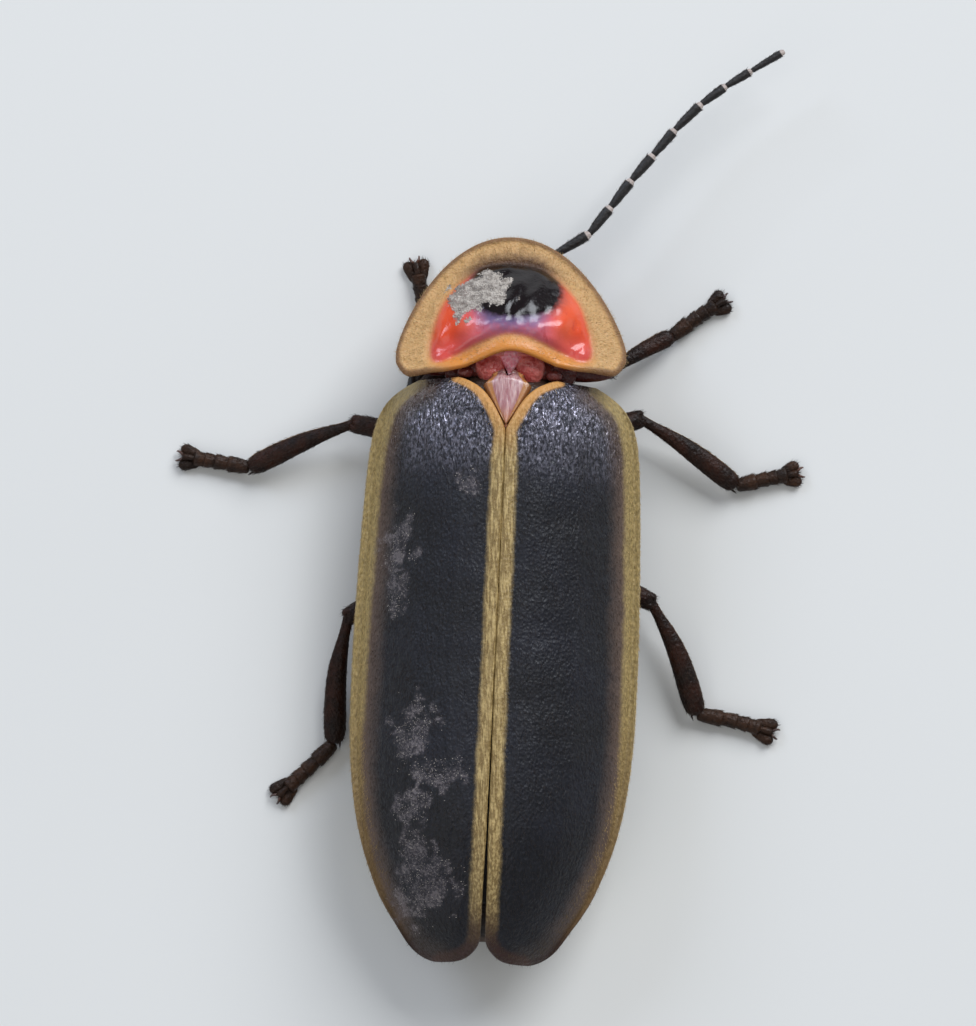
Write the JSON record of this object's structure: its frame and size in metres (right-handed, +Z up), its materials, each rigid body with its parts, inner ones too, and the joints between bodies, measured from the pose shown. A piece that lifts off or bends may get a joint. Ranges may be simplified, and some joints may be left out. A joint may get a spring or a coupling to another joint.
{
  "type": "firefly",
  "caption": "Life-size adult firefly standing with closed wing cases, a broad shield over its head, one feeler held forward and the other laid back.",
  "frame": {"origin": "on the ground, under the middle of the outline", "axes": "+Z up from the ground, the head towards -Y, the insect's right side towards -X"},
  "size_m": [0.0112, 0.016, 0.0029],
  "materials": {
    "pronotum": "ochre shield with a rose disc and a black spot, satin",
    "wing_case": "charcoal with ochre borders, finely grained, satin",
    "red_cuticle": "salmon red, glossy",
    "dark_cuticle": "dark brown, satin, finely haired",
    "eye": "black, glossy, faceted",
    "belly": "dark brown, satin",
    "lantern": "cream yellow, waxy",
    "membrane": "smoky, thin, glossy"
  },
  "bodies": {
    "root": {"front_leg_left_coxa": "dark_cuticle", "front_leg_left_femur": "dark_cuticle", "front_leg_left_tibia": "dark_cuticle", "front_leg_left_tarsus": "dark_cuticle", "middle_leg_left_coxa": "dark_cuticle", "middle_leg_left_femur": "dark_cuticle", "middle_leg_left_tibia": "dark_cuticle", "middle_leg_left_tarsus": "dark_cuticle", "hind_leg_left_coxa": "dark_cuticle", "hind_leg_left_femur": "dark_cuticle", "hind_leg_left_tibia": "dark_cuticle", "hind_leg_left_tarsus": "dark_cuticle", "front_leg_right_coxa": "dark_cuticle", "front_leg_right_femur": "dark_cuticle", "front_leg_right_tibia": "dark_cuticle", "front_leg_right_tarsus": "dark_cuticle", "middle_leg_right_coxa": "dark_cuticle", "middle_leg_right_femur": "dark_cuticle", "middle_leg_right_tibia": "dark_cuticle", "middle_leg_right_tarsus": "dark_cuticle", "hind_leg_right_coxa": "dark_cuticle", "hind_leg_right_femur": "dark_cuticle", "hind_leg_right_tibia": "dark_cuticle", "hind_leg_right_tarsus": "dark_cuticle", "pronotum": "pronotum", "head": "dark_cuticle", "prothorax": "red_cuticle", "mesonotum": "red_cuticle", "scutellum": "red_cuticle", "thorax": "belly", "abdomen": "belly", "lantern": "lantern", "abdomen_tip": "belly", "eye_left": "eye", "mandible_left": "dark_cuticle", "palp_left": "dark_cuticle", "antenna_left": "dark_cuticle", "wing_case_left": "wing_case", "hind_wing_left": "membrane", "eye_right": "eye", "mandible_right": "dark_cuticle", "palp_right": "dark_cuticle", "antenna_right": "dark_cuticle", "wing_case_right": "wing_case", "hind_wing_right": "membrane"}
  },
  "joints": []
}
